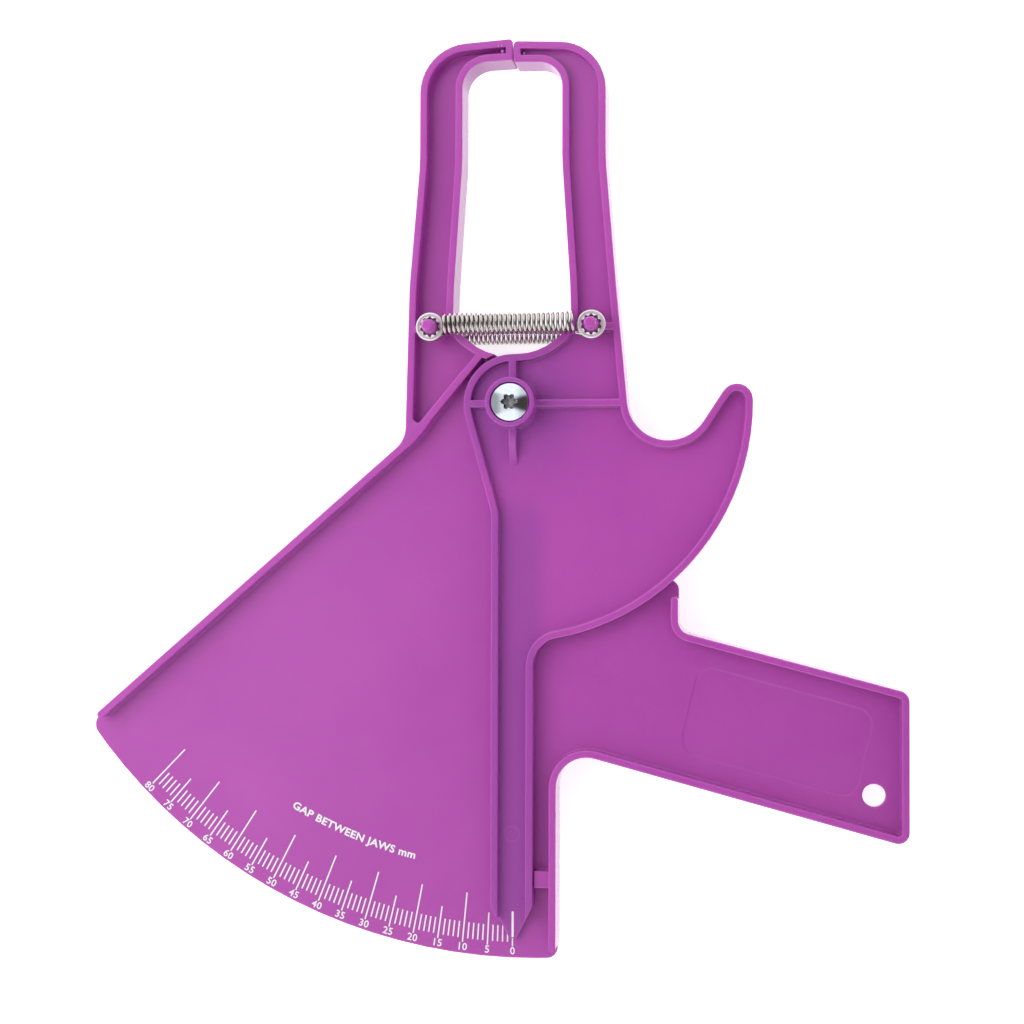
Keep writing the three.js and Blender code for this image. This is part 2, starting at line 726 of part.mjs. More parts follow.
addPiece('frame', buildFrame(), violet);
addPiece('lever', buildLever(), violet);
addPiece('pivot_screw', buildScrew(), chrome);
addPiece('pivot_barrel', buildBarrel(), chrome);

// The rear spring is turned over about its length, so both are wound the same way
const frontWire = springPath(frontCoilRise);
const rearWire = springPath(rearCoilDrop);
const leastGaps = [frontWire, rearWire].map((path) => leastGap(path).toFixed(2));
console.log('least gap between turns of each spring, mm:', leastGaps.join(', '));
const frontPlace = [-post.x, post.y, springAboveRim];
const rearPlace = [-post.x, post.y, rearRim - springAboveRim];
addPiece('front_spring', buildWire(frontWire).translate(frontPlace), steel);
addPiece('rear_spring', buildWire(rearWire).rotate([180, 0, 0]).translate(rearPlace), steel);
for (const [owner, side] of [['frame', -1], ['lever', 1]]) {
  const retainer = buildRetainer(side * post.x, retainerSeat);
  addPiece(`front_${owner}_retainer`, retainer, zinc);
  addPiece(`rear_${owner}_retainer`, mirroredInDepth(retainer), zinc);
}

// The origin is at the middle of the base: the caliper lies on its back
const bounds = new THREE.Box3().setFromObject(caliper, true);
const middle = bounds.getCenter(new THREE.Vector3());
caliper.position.set(-middle.x, -middle.y, -bounds.min.z);
console.log('pivot axis at', caliper.position.toArray().map((value) => value.toFixed(3)).join(', '));

export default caliper;
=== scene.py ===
import json
import math
import bpy
import bmesh
from mathutils import Matrix, Vector
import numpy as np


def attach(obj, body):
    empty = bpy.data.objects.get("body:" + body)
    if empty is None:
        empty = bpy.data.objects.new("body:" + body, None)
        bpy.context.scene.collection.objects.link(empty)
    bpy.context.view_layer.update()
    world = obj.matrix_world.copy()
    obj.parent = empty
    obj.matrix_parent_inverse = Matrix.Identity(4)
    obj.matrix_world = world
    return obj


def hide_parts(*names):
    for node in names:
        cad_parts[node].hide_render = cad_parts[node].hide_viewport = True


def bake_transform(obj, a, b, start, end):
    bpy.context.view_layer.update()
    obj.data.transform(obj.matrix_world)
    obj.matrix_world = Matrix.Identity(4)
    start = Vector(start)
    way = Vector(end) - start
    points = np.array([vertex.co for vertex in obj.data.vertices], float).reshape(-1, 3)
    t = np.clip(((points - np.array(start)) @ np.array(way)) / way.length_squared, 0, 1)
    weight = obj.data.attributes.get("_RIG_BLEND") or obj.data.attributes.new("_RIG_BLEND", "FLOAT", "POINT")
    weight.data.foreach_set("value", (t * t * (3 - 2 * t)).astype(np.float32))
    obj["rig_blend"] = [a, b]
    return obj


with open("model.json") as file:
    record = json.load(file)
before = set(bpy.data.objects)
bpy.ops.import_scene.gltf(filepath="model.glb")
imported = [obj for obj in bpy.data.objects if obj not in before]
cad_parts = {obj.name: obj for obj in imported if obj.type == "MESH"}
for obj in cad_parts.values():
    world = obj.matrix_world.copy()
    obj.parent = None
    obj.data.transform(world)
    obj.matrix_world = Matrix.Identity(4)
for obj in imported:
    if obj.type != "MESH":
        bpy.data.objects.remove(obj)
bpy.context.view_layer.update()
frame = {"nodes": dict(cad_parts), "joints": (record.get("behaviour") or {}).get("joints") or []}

# Camera: half a metre in front of the pivot, on the side of the scale. It stands a little to the
# right and below, so that the walls that face right and down show as narrow bright strips.
MM = 0.001
joints = {joint["name"]: joint for joint in frame["joints"]}
pivot = Vector(joints["lever_pivot"]["pos_m"])
camera_distance = 499.5
pivot_in_view = Vector((0.091, 33.08, -camera_distance)) * MM
plate_normal_in_view = Vector((-0.1530, 0.0157, 0.9881)).normalized()
focal_pixels = 1640
picture_pixels = 1024
sensor_width = 36
view_up = Vector((0, 1, 0))
plate_up = (view_up - plate_normal_in_view * plate_normal_in_view.dot(view_up)).normalized()
plate_right = plate_up.cross(plate_normal_in_view)
turn = Matrix((plate_right, plate_up, plate_normal_in_view))
camera_data = bpy.data.cameras.new("camera")
camera_data.sensor_width = sensor_width
camera_data.lens = sensor_width * focal_pixels / picture_pixels
camera_data.clip_end = 20
camera = bpy.data.objects.new("camera", camera_data)
bpy.context.scene.collection.objects.link(camera)
camera.matrix_world = Matrix.Translation(pivot - turn @ pivot_in_view) @ turn.to_4x4()
bpy.context.scene.camera = camera
bpy.context.scene.view_settings.view_transform = "Standard"

# Table: a plain white sheet of paper under the caliper, which lies on the pins of its rear spring.
# The camera and whatever shines see it glow white, and it keeps the caliper's soft shadow.
def linear(colour):
    # From sRGB, as "#RRGGBB", to the linear colour that a socket takes.
    channels = [int(colour[i : i + 2], 16) / 255 for i in (1, 3, 5)]
    lit = [c / 12.92 if c <= 0.04045 else ((c + 0.055) / 1.055) ** 2.4 for c in channels]
    return (*lit, 1)


def add_node(tree, kind, inputs, **settings):
    node = tree.nodes.new(kind)
    for name, value in settings.items():
        setattr(node, name, value)
    for key, value in inputs.items():
        if isinstance(value, bpy.types.NodeSocket):
            tree.links.new(value, node.inputs[key])
        else:
            node.inputs[key].default_value = value
    return node


def new_material(name):
    material = bpy.data.materials.new(name)
    material.use_nodes = True
    material.node_tree.nodes.clear()
    return material, material.node_tree


def mesh_from(bm, name):
    mesh = bpy.data.meshes.new(name)
    bm.to_mesh(mesh)
    bm.free()
    return mesh


def add_piece(name, mesh, *materials):
    piece = bpy.data.objects.new(name, mesh)
    bpy.context.scene.collection.objects.link(piece)
    for material in materials:
        mesh.materials.append(material)
    return piece


def shade_smooth(mesh, angle=35):
    mesh.shade_smooth()
    mesh.set_sharp_from_angle(angle=math.radians(angle))


table_half_side = 3
glow_to_the_camera = 0.64
paper_fibre_scale = 900
table_white, tree = new_material("white_table_sheet")
light_path = add_node(tree, "ShaderNodeLightPath", {})
seen = add_node(
    tree,
    "ShaderNodeMath",
    {0: light_path.outputs["Is Camera Ray"], 1: glow_to_the_camera},
    operation="MULTIPLY",
)
mirrored = add_node(
    tree,
    "ShaderNodeMath",
    {0: light_path.outputs["Is Glossy Ray"], 1: light_path.outputs["Is Transmission Ray"]},
    operation="MAXIMUM",
)
glow_share = add_node(
    tree, "ShaderNodeMath", {0: seen.outputs[0], 1: mirrored.outputs[0]}, operation="MAXIMUM"
)
place = add_node(tree, "ShaderNodeTexCoord", {})
paper_fibre = add_node(
    tree,
    "ShaderNodeTexNoise",
    {"Vector": place.outputs["Object"], "Scale": paper_fibre_scale, "Detail": 2},
)
paper_tint = add_node(
    tree,
    "ShaderNodeMixRGB",
    {"Fac": paper_fibre.outputs[0], "Color1": linear("#F4F4F4"), "Color2": linear("#FAFAFA")},
)
paper = add_node(tree, "ShaderNodeBsdfDiffuse", {"Color": paper_tint.outputs[0]})
white = (1, 1, 1, 1)
glow = add_node(tree, "ShaderNodeEmission", {"Color": white, "Strength": glow_share.outputs[0]})
paper_and_glow = add_node(tree, "ShaderNodeAddShader", {0: paper.outputs[0], 1: glow.outputs[0]})
add_node(tree, "ShaderNodeOutputMaterial", {"Surface": paper_and_glow.outputs[0]})
bm = bmesh.new()
bmesh.ops.create_grid(bm, x_segments=4, y_segments=4, size=table_half_side)
table = add_piece("table", mesh_from(bm, "table"), table_white)

# Light: a soft room and a soft box on the left, which makes the walls cast faint shadows to the
# right. What shines sees a box on the left, one beyond each end, and a dark gap between them.
world = bpy.data.worlds.new("light_tent")
bpy.context.scene.world = world
world.use_nodes = True
tree = world.node_tree
tree.nodes.clear()
light_path = add_node(tree, "ShaderNodeLightPath", {})
heading = add_node(tree, "ShaderNodeTexCoord", {}).outputs["Generated"]
compass = add_node(tree, "ShaderNodeSeparateXYZ", {0: heading})
aside = add_node(tree, "ShaderNodeMath", {0: compass.outputs["X"]}, operation="ABSOLUTE")
along = add_node(tree, "ShaderNodeMath", {0: compass.outputs["Y"]}, operation="ABSOLUTE")
narrowing_aside = -0.3
side_lean = add_node(
    tree,
    "ShaderNodeMath",
    {0: aside.outputs[0], 1: narrowing_aside, 2: along.outputs[0]},
    operation="MULTIPLY_ADD",
)
end_boxes = add_node(
    tree,
    "ShaderNodeMapRange",
    {"Value": side_lean.outputs[0], "From Min": 0.08, "From Max": 0.36},
    interpolation_type="SMOOTHSTEP",
)
right_fade = add_node(
    tree,
    "ShaderNodeMapRange",
    {
        "Value": compass.outputs["X"],
        "From Min": 0.1,
        "From Max": 0.5,
        "To Min": 1.25,
        "To Max": 0.8,
    },
    interpolation_type="SMOOTHSTEP",
)
end_light = add_node(
    tree,
    "ShaderNodeMath",
    {0: end_boxes.outputs[0], 1: right_fade.outputs[0]},
    operation="MULTIPLY",
)
left_box = add_node(
    tree,
    "ShaderNodeMapRange",
    {"Value": compass.outputs["X"], "From Min": -0.08, "From Max": -0.3, "To Max": 0.95},
    interpolation_type="SMOOTHSTEP",
)
left_fade = add_node(
    tree,
    "ShaderNodeMapRange",
    {
        "Value": compass.outputs["X"],
        "From Min": -0.4,
        "From Max": -0.75,
        "To Min": 1,
        "To Max": 0.45,
    },
    interpolation_type="SMOOTHSTEP",
)
left_light = add_node(
    tree, "ShaderNodeMath", {0: left_box.outputs[0], 1: left_fade.outputs[0]}, operation="MULTIPLY"
)
boxes = add_node(
    tree, "ShaderNodeMath", {0: end_light.outputs[0], 1: left_light.outputs[0]}, operation="MAXIMUM"
)
horizon = add_node(
    tree,
    "ShaderNodeMapRange",
    {"Value": compass.outputs["Z"], "From Min": 0.3, "From Max": 0.1, "To Max": 1.2},
    interpolation_type="SMOOTHSTEP",
)
lit = add_node(
    tree, "ShaderNodeMath", {0: boxes.outputs[0], 1: horizon.outputs[0]}, operation="MAXIMUM"
)
shine = add_node(
    tree,
    "ShaderNodeMixRGB",
    {"Fac": 1, "Color1": lit.outputs[0], "Color2": linear("#443D38")},
    blend_type="LIGHTEN",
)
# More light comes from the room's walls than from overhead, so upright walls glow.
light_at_the_walls, light_overhead, overhead = 1.44, 0.7, 0.6
wall_light = add_node(
    tree,
    "ShaderNodeMapRange",
    {
        "Value": compass.outputs["Z"],
        "From Min": 0,
        "From Max": overhead,
        "To Min": light_at_the_walls,
        "To Max": light_overhead,
    },
)
room_light = add_node(
    tree, "ShaderNodeBackground", {"Color": white, "Strength": wall_light.outputs[0]}
)
room_shine = add_node(tree, "ShaderNodeBackground", {"Color": shine.outputs[0], "Strength": 1})
room_view = add_node(tree, "ShaderNodeBackground", {"Color": white, "Strength": 1})
shone = add_node(
    tree,
    "ShaderNodeMixShader",
    {0: light_path.outputs["Is Glossy Ray"], 1: room_light.outputs[0], 2: room_shine.outputs[0]},
)
viewed = add_node(
    tree,
    "ShaderNodeMath",
    {0: light_path.outputs["Is Camera Ray"], 1: light_path.outputs["Is Transmission Ray"]},
    operation="MAXIMUM",
)
whole = add_node(
    tree,
    "ShaderNodeMixShader",
    {0: viewed.outputs[0], 1: shone.outputs[0], 2: room_view.outputs[0]},
)
add_node(tree, "ShaderNodeOutputWorld", {"Surface": whole.outputs[0]})

soft_box_side = 0.4
soft_box_watts = 1.3
soft_box_place = (-0.3, 0.1, 0.42)
lamp_data = bpy.data.lights.new("soft_box_left", "AREA")
lamp_data.size = soft_box_side
lamp_data.energy = soft_box_watts
lamp = bpy.data.objects.new("soft_box_left", lamp_data)
bpy.context.scene.collection.objects.link(lamp)
lamp.location = soft_box_place
lamp.rotation_euler = (-lamp.location).to_track_quat("-Z", "Y").to_euler()
lamp.visible_glossy = False

# Frame: the half with the left jaw, the dial plate and the grip, injection moulded in violet ABS.
# Every wall has a moulder's small radius on its rim and at its foot.
edge_radius = 0.75


def moulded_violet_abs(name, deep="#B44FB0", bright="#BA55B4"):
    # Satin ABS, a little cloudy, so light soaks 1 to 2 mm in: thin walls glow at their edges and
    # the ribs behind a plate show as faint darker lines. The mould's fine erosion gives the satin.
    material, tree = new_material(name)
    place = add_node(tree, "ShaderNodeTexCoord", {})
    flow = add_node(
        tree, "ShaderNodeTexNoise", {"Vector": place.outputs["Object"], "Scale": 32, "Detail": 3}
    )
    flow_band = add_node(
        tree, "ShaderNodeMapRange", {"Value": flow.outputs[0], "From Min": 0.3, "From Max": 0.7}
    )
    colour = add_node(
        tree,
        "ShaderNodeMixRGB",
        {"Fac": flow_band.outputs[0], "Color1": linear(deep), "Color2": linear(bright)},
    )
    satin = add_node(
        tree, "ShaderNodeTexNoise", {"Vector": place.outputs["Object"], "Scale": 1800, "Detail": 2}
    )
    shine = add_node(
        tree, "ShaderNodeMapRange", {"Value": satin.outputs[0], "To Min": 0.14, "To Max": 0.22}
    )
    edges = add_node(tree, "ShaderNodeBevel", {"Radius": edge_radius * MM}, samples=8)
    grain = add_node(
        tree,
        "ShaderNodeBump",
        {
            "Height": satin.outputs[0],
            "Strength": 0.06,
            "Distance": 0.02 * MM,
            "Normal": edges.outputs[0],
        },
    )
    plastic = add_node(
        tree,
        "ShaderNodeBsdfPrincipled",
        {
            "Base Color": colour.outputs[0],
            "Roughness": shine.outputs[0],
            "IOR": 1.54,
            "Normal": grain.outputs[0],
            "Subsurface Weight": 0.85,
            "Subsurface Radius": (1.0, 0.35, 0.9),
            "Subsurface Scale": 1.7 * MM,
        },
    )
    add_node(tree, "ShaderNodeOutputMaterial", {"Surface": plastic.outputs[0]})
    return material, tree, place, colour, plastic


def plain_mesh(piece):
    finished = piece.evaluated_get(bpy.context.evaluated_depsgraph_get())
    return bpy.data.meshes.new_from_object(finished)


def plain_mesh_of_new(name, data):
    # For a curve or a text, whose object is there only while its mesh is made.
    piece = bpy.data.objects.new(name, data)
    bpy.context.scene.collection.objects.link(piece)
    mesh = plain_mesh(piece)
    bpy.data.objects.remove(piece)
    return mesh


def prism_mesh(outline, low, high):
    bm = bmesh.new()
    bm.faces.new([bm.verts.new(pivot + Vector((x, y, low)) * MM) for x, y in outline])
    lifted = bmesh.ops.extrude_face_region(bm, geom=bm.faces[:])
    for vertex in lifted["geom"]:
        if isinstance(vertex, bmesh.types.BMVert):
            vertex.co.z += (high - low) * MM
    bmesh.ops.recalc_face_normals(bm, faces=bm.faces)
    return mesh_from(bm, "prism")


def moulding(node_name, piece_name, body, material, fills=()):
    # The CAD solid joined with its fills, shaded smooth round its arcs. The grip's sunk panel is
    # lifted to within a tenth of a millimetre, as faint as the real one.
    panel_floor = -5.75 * MM
    panel_lift = 0.2 * MM
    same_point = 0.002 * MM
    same_level = 0.01 * MM
    flat_within = math.radians(0.5)
    piece = add_piece(piece_name, frame["nodes"][node_name].data.copy())
    for outline, low, high in fills:
        bm = bmesh.new()
        bm.from_mesh(piece.data)
        bmesh.ops.remove_doubles(bm, verts=bm.verts, dist=same_point)
        bm.to_mesh(piece.data)
        bm.free()
        fill = add_piece("fill", prism_mesh(outline, low, high))
        union = piece.modifiers.new("fill", "BOOLEAN")
        union.operation = "UNION"
        union.solver = "EXACT"
        union.object = fill
        piece.data = plain_mesh(piece)
        piece.modifiers.clear()
        bpy.data.objects.remove(fill)
    bm = bmesh.new()
    bm.from_mesh(piece.data)
    bmesh.ops.remove_doubles(bm, verts=bm.verts, dist=same_point)
    bmesh.ops.dissolve_limit(bm, angle_limit=flat_within, verts=bm.verts, edges=bm.edges)
    for vertex in bm.verts:
        if abs(vertex.co.z - pivot.z - panel_floor) < same_level:
            vertex.co.z += panel_lift
    bmesh.ops.triangulate(bm, faces=bm.faces, ngon_method="BEAUTY")
    bm.to_mesh(piece.data)
    bm.free()
    for attribute in [a for a in piece.data.attributes if a.name == "custom_normal"]:
        piece.data.attributes.remove(attribute)
    piece.data.materials.clear()
    piece.data.materials.append(material)
    shade_smooth(piece.data, 30)
    even_shading = piece.modifiers.new("even shading of flat webs", "WEIGHTED_NORMAL")
    even_shading.mode = "FACE_AREA"
    even_shading.weight = 50
    even_shading.keep_sharp = True
    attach(piece, body)
    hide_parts(node_name)


violet_abs = moulded_violet_abs("violet_abs_satin_moulded")[0]

# Where the arm, the slanted rib and the dial's edge rib meet, the moulding is solid up to the
# rim, with a round end to the pocket above and a hollow fillet outside.
arm_foot = Vector((-33.3, -10.9))
fillet_start = Vector((-33.2, -7.0))
fillet_end = Vector((-36.25, -13.45))
fillet_steps = 8
fillet = [
    (1 - t) ** 2 * fillet_start + 2 * t * (1 - t) * arm_foot + t**2 * fillet_end
    for t in (k / fillet_steps for k in range(fillet_steps + 1))
]
outer_fillet = [(-32.2, -12.2)] + [tuple(point) for point in fillet]
foot_fill = [
    # Under the arm, then the pocket's round end.
    (-31.9, -3.0),
    (-31.05, -3.6),
    (-30.9, -4.6),
    (-30.35, -5.35),
    (-29.3, -5.7),
    (-28.3, -5.3),
    (-27.2, -4.2),
    (-26.2, -4.3),
    # Back along the slanted rib's lower edge, and up inside the arm's outer wall.
    (-25.5, -4.95),
    (-26.75, -6.8),
    (-28.2, -8.8),
    (-29.8, -10.6),
    (-31.5, -12.25),
    (-33.1, -13.6),
    (-34.0, -13.6),
    (-32.4, -11.2),
    (-32.0, -8.0),
]
front_depth, rear_rim = -6.2, -10.6
moulding(
    "frame",
    "frame_moulding",
    "frame",
    violet_abs,
    fills=[(foot_fill, front_depth, 0), (outer_fillet, rear_rim, 0)],
)

# Scale: white ink, pad printed on the dial plate, so it stands off the plastic by a few
# hundredths of a millimetre and is matt, with a faint unevenness in its cover. Each line stands
# where the pointer is when the jaws are that many millimetres apart.
ink_white, tree = new_material("white_pad_printing_ink")
place = add_node(tree, "ShaderNodeTexCoord", {})
cover = add_node(
    tree, "ShaderNodeTexNoise", {"Vector": place.outputs["Object"], "Scale": 2500, "Detail": 2}
)
ink_colour = add_node(
    tree,
    "ShaderNodeMixRGB",
    {"Fac": cover.outputs[0], "Color1": linear("#F6F1F7"), "Color2": linear("#EADDEC")},
)
ink_grain = add_node(
    tree,
    "ShaderNodeBump",
    {"Height": cover.outputs[0], "Strength": 0.2, "Distance": 0.01 * MM},
)
ink_film = add_node(
    tree,
    "ShaderNodeBsdfPrincipled",
    {
        "Base Color": ink_colour.outputs[0],
        "Roughness": 0.5,
        "IOR": 1.5,
        "Normal": ink_grain.outputs[0],
    },
)
add_node(tree, "ShaderNodeOutputMaterial", {"Surface": ink_film.outputs[0]})

scale_lines = bpy.data.node_groups.new("scale_lines", "GeometryNodeTree")
for name, kind in [
    ("Pivot on the plate", "NodeSocketVector"),
    ("Divisions", "NodeSocketInt"),
    ("Opening per division", "NodeSocketFloat"),
    ("Jaw circle across", "NodeSocketFloat"),
    ("Line width", "NodeSocketFloat"),
    ("Ink thickness", "NodeSocketFloat"),
    ("Length of ones", "NodeSocketFloat"),
    ("Length of fives", "NodeSocketFloat"),
    ("Length of tens", "NodeSocketFloat"),
    ("Foot of ones", "NodeSocketFloat"),
    ("Foot of fives", "NodeSocketFloat"),
    ("Ink", "NodeSocketMaterial"),
]:
    scale_lines.interface.new_socket(name, in_out="INPUT", socket_type=kind)
scale_lines.interface.new_socket("Lines", in_out="OUTPUT", socket_type="NodeSocketGeometry")
given = add_node(scale_lines, "NodeGroupInput", {}).outputs
number = add_node(scale_lines, "GeometryNodeInputIndex", {}).outputs[0]
opening = add_node(
    scale_lines,
    "ShaderNodeMath",
    {0: number, 1: given["Opening per division"]},
    operation="MULTIPLY",
)
half_chord = add_node(
    scale_lines,
    "ShaderNodeMath",
    {0: opening.outputs[0], 1: given["Jaw circle across"]},
    operation="DIVIDE",
)
half_turn = add_node(scale_lines, "ShaderNodeMath", {0: half_chord.outputs[0]}, operation="ARCSINE")
turn_back = add_node(
    scale_lines, "ShaderNodeMath", {0: half_turn.outputs[0], 1: -2}, operation="MULTIPLY"
)
after_five = add_node(scale_lines, "ShaderNodeMath", {0: number, 1: 5}, operation="MODULO")
after_ten = add_node(scale_lines, "ShaderNodeMath", {0: number, 1: 10}, operation="MODULO")
is_five = add_node(
    scale_lines, "ShaderNodeMath", {0: after_five.outputs[0], 1: 0.5}, operation="LESS_THAN"
)
is_ten = add_node(
    scale_lines, "ShaderNodeMath", {0: after_ten.outputs[0], 1: 0.5}, operation="LESS_THAN"
)
one_or_five = add_node(
    scale_lines,
    "GeometryNodeSwitch",
    {0: is_five.outputs[0], 1: given["Length of ones"], 2: given["Length of fives"]},
    input_type="FLOAT",
)
line_length = add_node(
    scale_lines,
    "GeometryNodeSwitch",
    {0: is_ten.outputs[0], 1: one_or_five.outputs[0], 2: given["Length of tens"]},
    input_type="FLOAT",
)
foot = add_node(
    scale_lines,
    "GeometryNodeSwitch",
    {0: is_five.outputs[0], 1: given["Foot of ones"], 2: given["Foot of fives"]},
    input_type="FLOAT",
)
half_length = add_node(
    scale_lines, "ShaderNodeMath", {0: line_length.outputs[0], 1: 0.5}, operation="MULTIPLY"
)
below_pivot = add_node(
    scale_lines,
    "ShaderNodeMath",
    {0: half_length.outputs[0], 1: foot.outputs[0]},
    operation="SUBTRACT",
)
straight_down = add_node(scale_lines, "ShaderNodeCombineXYZ", {1: below_pivot.outputs[0]})
turned_round = add_node(
    scale_lines,
    "ShaderNodeVectorRotate",
    {"Vector": straight_down.outputs[0], "Angle": turn_back.outputs[0]},
    rotation_type="Z_AXIS",
)
line_middle = add_node(
    scale_lines,
    "ShaderNodeVectorMath",
    {0: turned_round.outputs[0], 1: given["Pivot on the plate"]},
    operation="ADD",
)
line_count = add_node(scale_lines, "ShaderNodeMath", {0: given["Divisions"], 1: 1}, operation="ADD")
row_of_points = add_node(scale_lines, "GeometryNodeMeshLine", {"Count": line_count.outputs[0]})
placed_points = add_node(
    scale_lines,
    "GeometryNodeSetPosition",
    {"Geometry": row_of_points.outputs[0], "Position": line_middle.outputs[0]},
)
line_turn = add_node(scale_lines, "ShaderNodeCombineXYZ", {2: turn_back.outputs[0]})
line_size = add_node(
    scale_lines,
    "ShaderNodeCombineXYZ",
    {0: given["Line width"], 1: line_length.outputs[0], 2: given["Ink thickness"]},
)
line_body = add_node(scale_lines, "GeometryNodeMeshCube", {"Size": (1, 1, 1)})
lines = add_node(
    scale_lines,
    "GeometryNodeInstanceOnPoints",
    {
        "Points": placed_points.outputs[0],
        "Instance": line_body.outputs[0],
        "Rotation": line_turn.outputs[0],
        "Scale": line_size.outputs[0],
    },
)
real_lines = add_node(scale_lines, "GeometryNodeRealizeInstances", {0: lines.outputs[0]})
inked = add_node(
    scale_lines,
    "GeometryNodeSetMaterial",
    {"Geometry": real_lines.outputs[0], "Material": given["Ink"]},
)
add_node(scale_lines, "NodeGroupOutput", {0: inked.outputs[0]})


def grown_mesh(tree, sizes):
    seed = bpy.data.objects.new("seed", bpy.data.meshes.new("seed"))
    bpy.context.scene.collection.objects.link(seed)
    growth = seed.modifiers.new("growth", "NODES")
    growth.node_group = tree
    for socket in tree.interface.items_tree:
        if socket.in_out == "INPUT":
            growth[socket.identifier] = sizes[socket.name]
    mesh = plain_mesh(seed)
    bpy.data.objects.remove(seed)
    return mesh


# The print stands a little to the left of the pivot's own centre, as the pad put it.
jaw_circle_radius = 106.5
divisions = 80
plate_z = -5.45
ink_thickness = 0.04
print_centre = pivot + Vector((-0.4, 0.15, 0)) * MM
line_mesh = grown_mesh(
    scale_lines,
    {
        "Pivot on the plate": print_centre + Vector((0, 0, plate_z)) * MM,
        "Divisions": divisions,
        "Opening per division": 1 * MM,
        "Jaw circle across": 2 * jaw_circle_radius * MM,
        "Line width": 0.43 * MM,
        "Ink thickness": ink_thickness * MM,
        "Length of ones": 4.95 * MM,
        "Length of fives": 9.87 * MM,
        "Length of tens": 15.3 * MM,
        "Foot of ones": 164.9 * MM,
        "Foot of fives": 166.2 * MM,
        "Ink": ink_white,
    },
)
scale_print = add_piece("scale_lines", line_mesh)
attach(scale_print, "frame")


def print_on_arc(printed, words, angle, radius, height, widening, boldness):
    # The words, set in one line and bent round the pivot with their middle at the angle, are
    # added to the bmesh. The radius is that of the middle of their height.
    letters = bpy.data.curves.new(words, "FONT")
    letters.body = words
    letters.align_x = "CENTER"
    letters.offset = boldness
    letters.space_character = 1.06
    letters.extrude = 0.5
    letters.resolution_u = 3
    mesh = plain_mesh_of_new(words, letters)
    lowest = min(vertex.co.y for vertex in mesh.vertices)
    highest = max(vertex.co.y for vertex in mesh.vertices)
    grow = height / (highest - lowest)
    for vertex in mesh.vertices:
        x = vertex.co.x * grow * widening
        reach = radius + height / 2 - (vertex.co.y - lowest) * grow
        heading = angle - x / radius
        ink_z = plate_z + vertex.co.z * ink_thickness
        spot = Vector((-reach * math.sin(heading), -reach * math.cos(heading), ink_z))
        vertex.co = print_centre + spot * MM
    printed.from_mesh(mesh)


def finish_print(name, printed, body):
    bmesh.ops.remove_doubles(printed, verts=printed.verts, dist=0.001 * MM)
    piece = add_piece(name, mesh_from(printed, name), ink_white)
    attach(piece, body)


figure_radius = 167.55
figure_height = 2.3
figure_boldness = 0.018
printed = bmesh.new()
for number in range(0, divisions + 1, 5):
    figure_angle = 2 * math.asin(number / (2 * jaw_circle_radius))
    print_on_arc(
        printed, str(number), figure_angle, figure_radius, figure_height, 1, figure_boldness
    )
finish_print("scale_figures", printed, "frame")

# Legend: one line of plain words in the same ink, bent round the pivot above the scale, which
# says what the scale counts.
legend_angle = math.radians(20.7)
legend_radius = 143
legend_height = 3.2
legend_boldness = 0.03
printed = bmesh.new()
print_on_arc(
    printed,
    "GAP BETWEEN JAWS mm",
    legend_angle,
    legend_radius,
    legend_height,
    1.1,
    legend_boldness,
)
finish_print("scale_legend", printed, "frame")

# Lever: the half with the right jaw, the thumb hollow and hook, and the pointer, moulded in the
# same violet ABS. Its web lies just over the frame's, and where they cross its colour is painted
# darker: a painted shade for the double layer of plastic.
lever_abs, tree, place, colour, plastic = moulded_violet_abs("violet_abs_over_the_frame")
from_pivot = add_node(
    tree, "ShaderNodeVectorMath", {0: place.outputs["Object"], 1: pivot}, operation="SUBTRACT"
)
spot = add_node(tree, "ShaderNodeSeparateXYZ", {0: from_pivot.outputs[0]})
flat_spot = add_node(tree, "ShaderNodeCombineXYZ", {0: spot.outputs["X"], 1: spot.outputs["Y"]})
reach = add_node(tree, "ShaderNodeVectorMath", {0: flat_spot.outputs[0]}, operation="LENGTH")
# Painted shade: the colour is painted darkest round the pivot, over the frame's neck, where it
# fades out at 34 mm, and along the pointer, which runs over the dial plate.
over_boss = add_node(
    tree,
    "ShaderNodeMapRange",
    {"Value": reach.outputs["Value"], "From Min": 34 * MM, "From Max": 9 * MM},
    interpolation_type="SMOOTHSTEP",
)
aside = add_node(tree, "ShaderNodeMath", {0: spot.outputs["X"]}, operation="ABSOLUTE")
near_pointer = add_node(
    tree,
    "ShaderNodeMapRange",
    {"Value": aside.outputs[0], "From Min": 12 * MM, "From Max": 5 * MM},
    interpolation_type="SMOOTHSTEP",
)
below_neck = add_node(
    tree,
    "ShaderNodeMapRange",
    {"Value": spot.outputs["Y"], "From Min": -20 * MM, "From Max": -40 * MM},
    interpolation_type="SMOOTHSTEP",
)
over_dial = add_node(
    tree,
    "ShaderNodeMath",
    {0: near_pointer.outputs[0], 1: below_neck.outputs[0]},
    operation="MULTIPLY",
)
painted_shade_over_the_frame = add_node(
    tree, "ShaderNodeMath", {0: over_boss.outputs[0], 1: over_dial.outputs[0]}, operation="MAXIMUM"
)
# Painted shade: the lever's colour is mixed towards a darker violet by this mask.
shaded_colour = add_node(
    tree,
    "ShaderNodeMixRGB",
    {"Fac": painted_shade_over_the_frame.outputs[0], "Color1": colour.outputs[0], "Color2": linear("#A74EAB")},
)
tree.links.new(shaded_colour.outputs[0], plastic.inputs["Base Color"])
moulding("lever", "lever_moulding", "lever", lever_abs)


